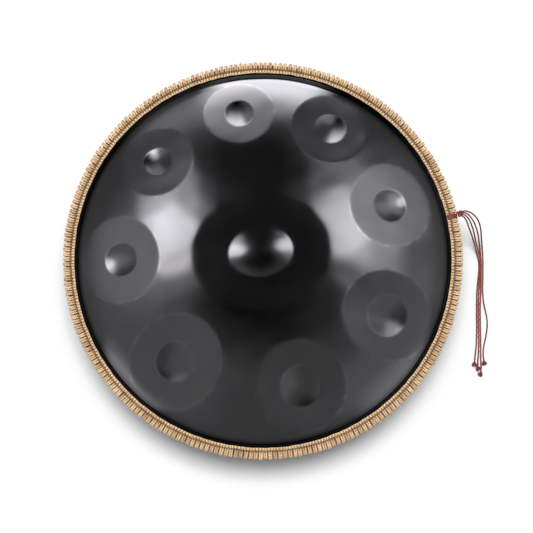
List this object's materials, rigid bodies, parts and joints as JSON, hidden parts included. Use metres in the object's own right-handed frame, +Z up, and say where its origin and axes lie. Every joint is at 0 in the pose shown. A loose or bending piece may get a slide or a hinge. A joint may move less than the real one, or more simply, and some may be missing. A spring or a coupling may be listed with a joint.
{
  "type": "handpan",
  "caption": "Round steel hand drum of two bonded bowls, with dimpled tone fields around a raised centre, a stitched jute rim and a knotted tie cord.",
  "frame": {"origin": "on the pan's axis, in the plane of the flat ring around the lower port that the pan rests on", "axes": "+Z up along the pan's axis, out of the raised centre dome; +X towards the side where the tie cord hangs"},
  "size_m": [0.6232, 0.5762, 0.2359],
  "materials": {
    "top_steel": "satin nitrided steel, near black with soft reflections",
    "bottom_steel": "satin nitrided steel, slightly duller than the top",
    "adhesive": "cured black adhesive",
    "jute_wrap": "natural twisted jute, stitched side by side",
    "jute_braid": "natural twisted jute, plaited",
    "waxed_cord": "waxed polyester cord, red-brown"
  },
  "bodies": {
    "root": {"top_shell": "top_steel", "bottom_shell": "bottom_steel", "rim_adhesive": "adhesive", "rim_wrap": "jute_wrap", "top_edge_braid": "jute_braid", "bottom_edge_braid": "jute_braid", "tie_lashing": "waxed_cord", "tie_knot": "waxed_cord", "tie_strand_1": "waxed_cord", "tie_strand_2": "waxed_cord", "tie_strand_3": "waxed_cord", "tie_strand_4": "waxed_cord", "end_knot_1": "waxed_cord", "end_knot_2": "waxed_cord", "end_knot_3": "waxed_cord", "end_knot_4": "waxed_cord"}
  },
  "joints": []
}
